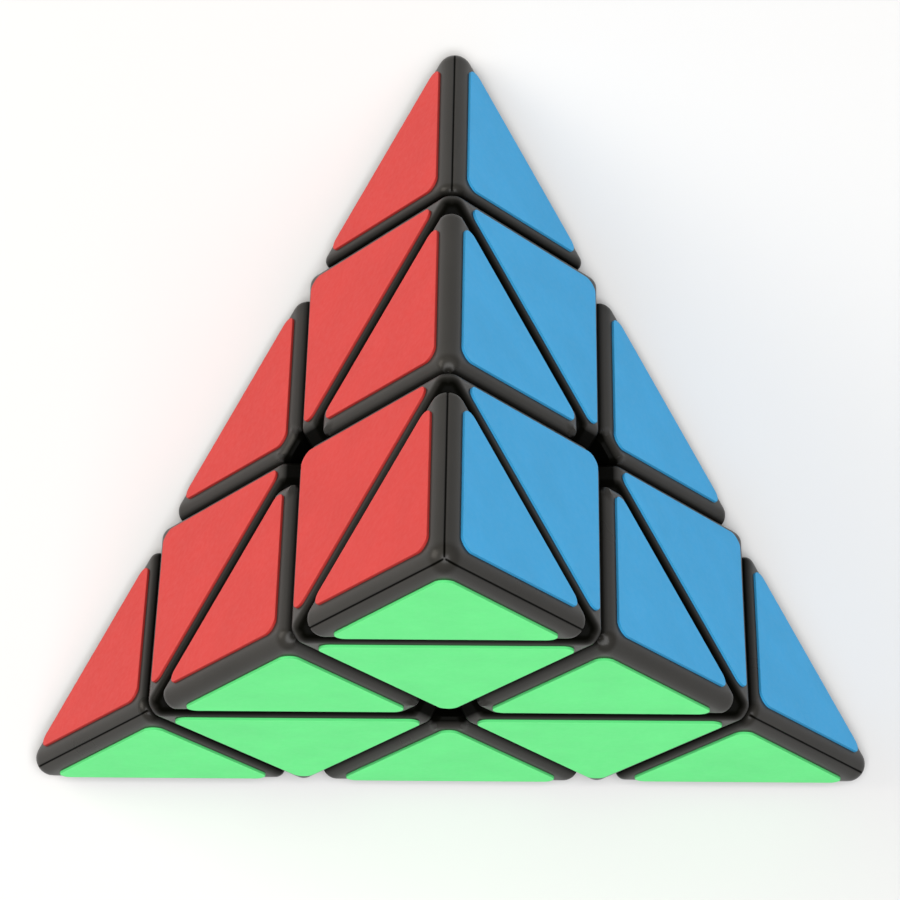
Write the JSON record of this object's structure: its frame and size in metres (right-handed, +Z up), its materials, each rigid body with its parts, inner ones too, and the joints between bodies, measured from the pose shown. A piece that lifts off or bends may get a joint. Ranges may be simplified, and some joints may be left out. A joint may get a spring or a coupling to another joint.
{
  "type": "pyramid twisty puzzle",
  "caption": "Stickered pyramid twisty puzzle: layers and corner tips turn on a sprung core, edge pieces ride between them on curved feet.",
  "frame": {"origin": "centre of the core ball, where the four turning axes cross", "axes": "+Z up through the top corner, +Y towards the rear corner, left and right corners towards -X and +X; the yellow face lies flat below"},
  "size_m": [0.099, 0.086, 0.0811],
  "materials": {
    "black_plastic": "satin moulded black ABS",
    "core_plastic": "plain moulded black nylon, greased",
    "sticker_red": "coral red vinyl sticker, semi-matt",
    "sticker_blue": "sky blue vinyl sticker, semi-matt",
    "sticker_green": "mint green vinyl sticker, semi-matt",
    "sticker_yellow": "yellow vinyl sticker, semi-matt",
    "axis_steel": "zinc plated",
    "spring_steel": "bright drawn wire"
  },
  "bodies": {
    "core": {"core": "core_plastic", "axis_screws": "axis_steel", "screw_washers": "axis_steel", "axis_springs": "spring_steel"},
    "centre_top_body": {"centre_top": "black_plastic", "centre_top_sticker_green": "sticker_green", "centre_top_sticker_blue": "sticker_blue", "centre_top_sticker_red": "sticker_red"},
    "tip_top_body": {"tip_top": "black_plastic", "tip_top_sticker_green": "sticker_green", "tip_top_sticker_blue": "sticker_blue", "tip_top_sticker_red": "sticker_red"},
    "centre_rear_body": {"centre_rear": "black_plastic", "centre_rear_sticker_yellow": "sticker_yellow", "centre_rear_sticker_blue": "sticker_blue", "centre_rear_sticker_red": "sticker_red"},
    "tip_rear_body": {"tip_rear": "black_plastic", "tip_rear_sticker_yellow": "sticker_yellow", "tip_rear_sticker_blue": "sticker_blue", "tip_rear_sticker_red": "sticker_red"},
    "centre_left_body": {"centre_left": "black_plastic", "centre_left_sticker_yellow": "sticker_yellow", "centre_left_sticker_green": "sticker_green", "centre_left_sticker_red": "sticker_red"},
    "tip_left_body": {"tip_left": "black_plastic", "tip_left_sticker_yellow": "sticker_yellow", "tip_left_sticker_green": "sticker_green", "tip_left_sticker_red": "sticker_red"},
    "centre_right_body": {"centre_right": "black_plastic", "centre_right_sticker_yellow": "sticker_yellow", "centre_right_sticker_green": "sticker_green", "centre_right_sticker_blue": "sticker_blue"},
    "tip_right_body": {"tip_right": "black_plastic", "tip_right_sticker_yellow": "sticker_yellow", "tip_right_sticker_green": "sticker_green", "tip_right_sticker_blue": "sticker_blue"},
    "edge_top_rear_body": {"edge_top_rear": "black_plastic", "edge_top_rear_foot": "core_plastic", "edge_top_rear_sticker_blue": "sticker_blue", "edge_top_rear_sticker_red": "sticker_red"},
    "edge_top_left_body": {"edge_top_left": "black_plastic", "edge_top_left_foot": "core_plastic", "edge_top_left_sticker_green": "sticker_green", "edge_top_left_sticker_red": "sticker_red"},
    "edge_top_right_body": {"edge_top_right": "black_plastic", "edge_top_right_foot": "core_plastic", "edge_top_right_sticker_green": "sticker_green", "edge_top_right_sticker_blue": "sticker_blue"},
    "edge_rear_left_body": {"edge_rear_left": "black_plastic", "edge_rear_left_foot": "core_plastic", "edge_rear_left_sticker_yellow": "sticker_yellow", "edge_rear_left_sticker_red": "sticker_red"},
    "edge_rear_right_body": {"edge_rear_right": "black_plastic", "edge_rear_right_foot": "core_plastic", "edge_rear_right_sticker_yellow": "sticker_yellow", "edge_rear_right_sticker_blue": "sticker_blue"},
    "edge_left_right_body": {"edge_left_right": "black_plastic", "edge_left_right_foot": "core_plastic", "edge_left_right_sticker_yellow": "sticker_yellow", "edge_left_right_sticker_green": "sticker_green"}
  },
  "joints": [
    {"name": "layer_top_turn", "type": "hinge", "parent": "core", "child": "centre_top_body", "pos_m": [0, 0, 0], "axis": [0, 0, 1], "range_deg": [-120, 240]},
    {"name": "layer_rear_turn", "type": "hinge", "parent": "core", "child": "centre_rear_body", "pos_m": [0, 0, 0], "axis": [0, 0.9428, -0.3333], "range_deg": [-120, 240]},
    {"name": "layer_left_turn", "type": "hinge", "parent": "core", "child": "centre_left_body", "pos_m": [0, 0, 0], "axis": [-0.8165, -0.4714, -0.3333], "range_deg": [-120, 240]},
    {"name": "layer_right_turn", "type": "hinge", "parent": "core", "child": "centre_right_body", "pos_m": [0, 0, 0], "axis": [0.8165, -0.4714, -0.3333], "range_deg": [-120, 240]},
    {"name": "tip_top_spin", "type": "hinge", "parent": "centre_top_body", "child": "tip_top_body", "pos_m": [0, 0, 0], "axis": [0, 0, 1], "continuous": true},
    {"name": "tip_rear_spin", "type": "hinge", "parent": "centre_rear_body", "child": "tip_rear_body", "pos_m": [0, 0, 0], "axis": [0, 0.9428, -0.3333], "continuous": true},
    {"name": "tip_left_spin", "type": "hinge", "parent": "centre_left_body", "child": "tip_left_body", "pos_m": [0, 0, 0], "axis": [-0.8165, -0.4714, -0.3333], "continuous": true},
    {"name": "tip_right_spin", "type": "hinge", "parent": "centre_right_body", "child": "tip_right_body", "pos_m": [0, 0, 0], "axis": [0.8165, -0.4714, -0.3333], "continuous": true},
    {"name": "edge_top_rear_turn", "type": "hinge", "parent": "centre_top_body", "child": "edge_top_rear_body", "pos_m": [0, 0, 0], "axis": [0, 0.9428, -0.3333], "range_deg": [-120, 240]},
    {"name": "edge_top_left_turn", "type": "hinge", "parent": "centre_top_body", "child": "edge_top_left_body", "pos_m": [0, 0, 0], "axis": [-0.8165, -0.4714, -0.3333], "range_deg": [-120, 240]},
    {"name": "edge_top_right_turn", "type": "hinge", "parent": "centre_top_body", "child": "edge_top_right_body", "pos_m": [0, 0, 0], "axis": [0.8165, -0.4714, -0.3333], "range_deg": [-120, 240]},
    {"name": "edge_rear_left_turn", "type": "hinge", "parent": "centre_left_body", "child": "edge_rear_left_body", "pos_m": [0, 0, 0], "axis": [0, 0.9428, -0.3333], "range_deg": [-120, 240]},
    {"name": "edge_rear_right_turn", "type": "hinge", "parent": "centre_rear_body", "child": "edge_rear_right_body", "pos_m": [0, 0, 0], "axis": [0.8165, -0.4714, -0.3333], "range_deg": [-120, 240]},
    {"name": "edge_left_right_turn", "type": "hinge", "parent": "centre_right_body", "child": "edge_left_right_body", "pos_m": [0, 0, 0], "axis": [-0.8165, -0.4714, -0.3333], "range_deg": [-120, 240]}
  ],
  "couplings": [
    {"joint": "edge_top_rear_turn", "follows": "layer_rear_turn", "ratio": 1},
    {"joint": "edge_top_left_turn", "follows": "layer_left_turn", "ratio": 1},
    {"joint": "edge_top_right_turn", "follows": "layer_right_turn", "ratio": 1},
    {"joint": "edge_rear_left_turn", "follows": "layer_rear_turn", "ratio": 1},
    {"joint": "edge_rear_right_turn", "follows": "layer_right_turn", "ratio": 1},
    {"joint": "edge_left_right_turn", "follows": "layer_left_turn", "ratio": 1}
  ]
}
